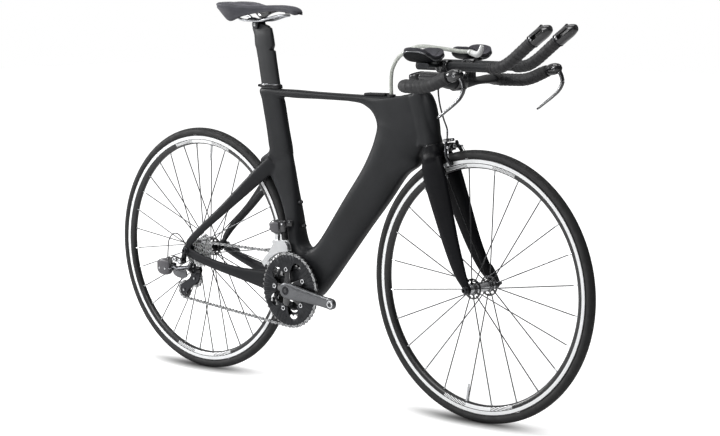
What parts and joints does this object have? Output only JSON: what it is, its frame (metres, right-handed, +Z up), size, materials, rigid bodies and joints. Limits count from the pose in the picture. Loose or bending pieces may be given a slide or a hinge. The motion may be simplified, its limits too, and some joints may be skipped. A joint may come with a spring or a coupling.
{
  "type": "time-trial bicycle",
  "caption": "Aero time-trial bicycle with deep frame tubes, a low wing bar with arm rests and raised extensions, narrow wheels, chain drive and rim brakes.",
  "frame": {"origin": "on the ground, midway between the two wheels' contact points", "axes": "+X forwards, +Y the rider's left, +Z up"},
  "size_m": [1.638, 0.416, 1.0135],
  "materials": {
    "arm_pad_left": "dark fabric over foam",
    "arm_pad_right": "dark fabric over foam",
    "arm_rest_cup_left": "glossy black",
    "arm_rest_cup_right": "glossy black",
    "base_bar": "dark wrapped tape",
    "bottom_bracket_cup_left": "dark grey anodised",
    "bottom_bracket_cup_right": "dark grey anodised",
    "brake_lever_housing_left": "glossy black",
    "brake_lever_housing_right": "glossy black",
    "brake_lever_left": "dark grey anodised",
    "brake_lever_right": "dark grey anodised",
    "cassette": "bright steel",
    "chain": "satin nickel",
    "chainring_inner": "bright steel",
    "chainring_outer": "dark grey anodised",
    "crank_left": "dark grey anodised",
    "crank_right": "dark grey anodised",
    "extension_clamp_left": "glossy black",
    "extension_clamp_right": "glossy black",
    "extension_left": "dark wrapped tape",
    "extension_right": "dark wrapped tape",
    "fork": "matte charcoal, smooth",
    "frame": "matte charcoal, smooth",
    "front_axle": "bright steel",
    "front_brake_arm_left": "dark grey anodised",
    "front_brake_arm_right": "dark grey anodised",
    "front_brake_cable": "black rubber",
    "front_brake_mount": "glossy black",
    "front_derailleur_body": "dark grey anodised",
    "front_derailleur_cage": "bright steel",
    "front_hub": "bright alloy",
    "front_rim": "dark wrapped tape",
    "front_skewer_lever": "dark grey anodised",
    "front_tyre": "dark grey tyre rubber",
    "guide_pulley": "black rubber",
    "hydration_hose": "translucent white",
    "rear_axle": "bright steel",
    "rear_brake_arm_left": "dark grey anodised",
    "rear_brake_arm_right": "dark grey anodised",
    "rear_derailleur_cable": "black rubber",
    "rear_derailleur_cage": "dark grey anodised",
    "rear_derailleur_knuckle": "dark grey anodised",
    "rear_derailleur_link": "dark grey anodised",
    "rear_derailleur_mount": "dark grey anodised",
    "rear_hub": "dark grey anodised",
    "rear_rim": "dark wrapped tape",
    "rear_skewer_lever": "dark grey anodised",
    "rear_tyre": "dark grey tyre rubber",
    "saddle_clamp": "glossy black",
    "saddle_pad": "dark cover with a slight sheen",
    "saddle_rails": "bright alloy",
    "saddle_shell": "glossy black",
    "seat_collar": "dark grey anodised",
    "seatpost": "matte charcoal, smooth",
    "shift_paddle_left": "glossy black",
    "shift_paddle_right": "glossy black",
    "shift_pod_left": "glossy black",
    "shift_pod_right": "glossy black",
    "stem": "glossy black",
    "tension_pulley": "black rubber"
  },
  "bodies": {
    "frame": {"frame": "frame", "seat_collar": "seat_collar", "bottom_bracket_cup_left": "bottom_bracket_cup_left", "bottom_bracket_cup_right": "bottom_bracket_cup_right", "rear_axle": "rear_axle", "front_derailleur_body": "front_derailleur_body", "rear_derailleur_mount": "rear_derailleur_mount", "rear_derailleur_cable": "rear_derailleur_cable", "chain": "chain"},
    "seatpost": {"seatpost": "seatpost"},
    "saddle": {"saddle_clamp": "saddle_clamp", "saddle_rails": "saddle_rails", "saddle_shell": "saddle_shell", "saddle_pad": "saddle_pad"},
    "steering": {"fork": "fork", "stem": "stem", "base_bar": "base_bar", "extension_left": "extension_left", "extension_right": "extension_right", "extension_clamp_left": "extension_clamp_left", "extension_clamp_right": "extension_clamp_right", "arm_rest_cup_left": "arm_rest_cup_left", "arm_rest_cup_right": "arm_rest_cup_right", "arm_pad_left": "arm_pad_left", "arm_pad_right": "arm_pad_right", "shift_pod_left": "shift_pod_left", "shift_pod_right": "shift_pod_right", "brake_lever_housing_left": "brake_lever_housing_left", "brake_lever_housing_right": "brake_lever_housing_right", "front_brake_mount": "front_brake_mount", "front_axle": "front_axle", "front_brake_cable": "front_brake_cable", "hydration_hose": "hydration_hose"},
    "front_wheel": {"front_tyre": "front_tyre", "front_rim": "front_rim", "front_hub": "front_hub"},
    "rear_wheel": {"rear_tyre": "rear_tyre", "rear_rim": "rear_rim", "rear_hub": "rear_hub"},
    "cassette": {"cassette": "cassette"},
    "crankset": {"crank_right": "crank_right", "crank_left": "crank_left", "chainring_outer": "chainring_outer", "chainring_inner": "chainring_inner"},
    "guide_pulley": {"guide_pulley": "guide_pulley"},
    "tension_pulley": {"tension_pulley": "tension_pulley"},
    "rear_derailleur_link": {"rear_derailleur_link": "rear_derailleur_link"},
    "rear_derailleur_knuckle": {"rear_derailleur_knuckle": "rear_derailleur_knuckle"},
    "rear_derailleur_cage": {"rear_derailleur_cage": "rear_derailleur_cage"},
    "front_derailleur_cage": {"front_derailleur_cage": "front_derailleur_cage"},
    "front_skewer_lever": {"front_skewer_lever": "front_skewer_lever"},
    "rear_skewer_lever": {"rear_skewer_lever": "rear_skewer_lever"},
    "brake_lever_left": {"brake_lever_left": "brake_lever_left"},
    "brake_lever_right": {"brake_lever_right": "brake_lever_right"},
    "front_brake_arm_left": {"front_brake_arm_left": "front_brake_arm_left"},
    "front_brake_arm_right": {"front_brake_arm_right": "front_brake_arm_right"},
    "rear_brake_arm_left": {"rear_brake_arm_left": "rear_brake_arm_left"},
    "rear_brake_arm_right": {"rear_brake_arm_right": "rear_brake_arm_right"},
    "shift_paddle_left": {"shift_paddle_left": "shift_paddle_left"},
    "shift_paddle_right": {"shift_paddle_right": "shift_paddle_right"}
  },
  "joints": [
    {"name": "seatpost_slide", "type": "slide", "parent": "frame", "child": "seatpost", "axis": [-0.1914, 0, 0.9815], "range_m": [-0.03, 0.04]},
    {"name": "saddle_tilt", "type": "hinge", "parent": "seatpost", "child": "saddle", "pos_m": [-0.269, 0, 0.954], "axis": [0, 1, 0], "range_deg": [-6, 6]},
    {"name": "steering_turn", "type": "hinge", "parent": "frame", "child": "steering", "pos_m": [0.293, 0, 0.8], "axis": [-0.3007, 0, 0.9537], "range_deg": [-40, 40], "deforming": ["hydration_hose"]},
    {"name": "front_wheel_spin", "type": "hinge", "parent": "steering", "child": "front_wheel", "pos_m": [0.485, 0, 0.334], "axis": [0, 1, 0], "continuous": true},
    {"name": "rear_wheel_spin", "type": "hinge", "parent": "frame", "child": "rear_wheel", "pos_m": [-0.485, 0, 0.334], "axis": [0, 1, 0], "continuous": true},
    {"name": "crank_spin", "type": "hinge", "parent": "frame", "child": "crankset", "pos_m": [-0.115, 0, 0.264], "axis": [0, 1, 0], "continuous": true},
    {"name": "cassette_spin", "type": "hinge", "parent": "frame", "child": "cassette", "pos_m": [-0.485, 0, 0.334], "axis": [0, 1, 0], "continuous": true},
    {"name": "link_swing", "type": "hinge", "parent": "frame", "child": "rear_derailleur_link", "pos_m": [-0.529, -0.08, 0.286], "axis": [0, 0.5646, 0.8253], "range_deg": [-7, 28.5], "deforming": ["chain"]},
    {"name": "knuckle_swing", "type": "hinge", "parent": "rear_derailleur_link", "child": "rear_derailleur_knuckle", "pos_m": [-0.46, -0.0805, 0.292], "axis": [0, 0.5646, 0.8253], "range_deg": [-28.5, 7], "deforming": ["chain"]},
    {"name": "cage_pivot", "type": "hinge", "parent": "rear_derailleur_knuckle", "child": "rear_derailleur_cage", "pos_m": [-0.46, -0.0533, 0.28], "axis": [0, 1, 0], "range_deg": [-25, 20], "stiffness_Nm_per_rad": 0.8, "deforming": ["chain"]},
    {"name": "guide_pulley_spin", "type": "hinge", "parent": "rear_derailleur_cage", "child": "guide_pulley", "pos_m": [-0.473, -0.0487, 0.256], "axis": [0, 1, 0], "continuous": true},
    {"name": "tension_pulley_spin", "type": "hinge", "parent": "rear_derailleur_cage", "child": "tension_pulley", "pos_m": [-0.515, -0.0487, 0.22], "axis": [0, 1, 0], "continuous": true},
    {"name": "front_derailleur_swing", "type": "hinge", "parent": "frame", "child": "front_derailleur_cage", "pos_m": [-0.1655, -0.04, 0.411], "axis": [1, 0, 0], "range_deg": [0, 9], "deforming": ["chain"]},
    {"name": "front_skewer_turn", "type": "hinge", "parent": "steering", "child": "front_skewer_lever", "pos_m": [0.485, 0.0704, 0.334], "axis": [-0.866, 0, -0.5], "range_deg": [0, 170]},
    {"name": "rear_skewer_turn", "type": "hinge", "parent": "frame", "child": "rear_skewer_lever", "pos_m": [-0.485, 0.0858, 0.334], "axis": [0.2402, 0, 0.9707], "range_deg": [0, 170]},
    {"name": "brake_lever_left_pull", "type": "hinge", "parent": "steering", "child": "brake_lever_left", "pos_m": [0.562, 0.192, 0.857], "axis": [0, 1, 0], "range_deg": [0, 22], "stiffness_Nm_per_rad": 1.5},
    {"name": "shift_paddle_left_press", "type": "hinge", "parent": "steering", "child": "shift_paddle_left", "pos_m": [0.68168, 0.05, 0.95869], "axis": [0, 1, 0], "range_deg": [-6, 6], "stiffness_Nm_per_rad": 0.2},
    {"name": "front_brake_left_close", "type": "hinge", "parent": "steering", "child": "front_brake_arm_left", "pos_m": [0.39295, 0.014, 0.67336], "axis": [-0.9478, 0, -0.319], "range_deg": [0, 3]},
    {"name": "rear_brake_left_close", "type": "hinge", "parent": "frame", "child": "rear_brake_arm_left", "pos_m": [-0.15961, 0.014, 0.20173], "axis": [0.342, 0, 0.9397], "range_deg": [0, 3]},
    {"name": "brake_lever_right_pull", "type": "hinge", "parent": "steering", "child": "brake_lever_right", "pos_m": [0.562, -0.192, 0.857], "axis": [0, 1, 0], "range_deg": [0, 22], "stiffness_Nm_per_rad": 1.5},
    {"name": "shift_paddle_right_press", "type": "hinge", "parent": "steering", "child": "shift_paddle_right", "pos_m": [0.68168, -0.05, 0.95869], "axis": [0, 1, 0], "range_deg": [-6, 6], "stiffness_Nm_per_rad": 0.2},
    {"name": "front_brake_right_close", "type": "hinge", "parent": "steering", "child": "front_brake_arm_right", "pos_m": [0.39295, -0.014, 0.67336], "axis": [-0.9478, 0, -0.319], "range_deg": [-3, 0]},
    {"name": "rear_brake_right_close", "type": "hinge", "parent": "frame", "child": "rear_brake_arm_right", "pos_m": [-0.15961, -0.014, 0.20173], "axis": [0.342, 0, 0.9397], "range_deg": [-3, 0]}
  ],
  "couplings": [
    {"joint": "cassette_spin", "follows": "crank_spin", "ratio": 3.6923},
    {"joint": "guide_pulley_spin", "follows": "crank_spin", "ratio": -4.3636},
    {"joint": "tension_pulley_spin", "follows": "crank_spin", "ratio": 4.3636},
    {"joint": "knuckle_swing", "follows": "link_swing", "ratio": -1},
    {"joint": "front_brake_left_close", "follows": "brake_lever_left_pull", "ratio": 0.136},
    {"joint": "rear_brake_left_close", "follows": "brake_lever_right_pull", "ratio": 0.136},
    {"joint": "front_brake_right_close", "follows": "brake_lever_left_pull", "ratio": -0.136},
    {"joint": "rear_brake_right_close", "follows": "brake_lever_right_pull", "ratio": -0.136}
  ]
}
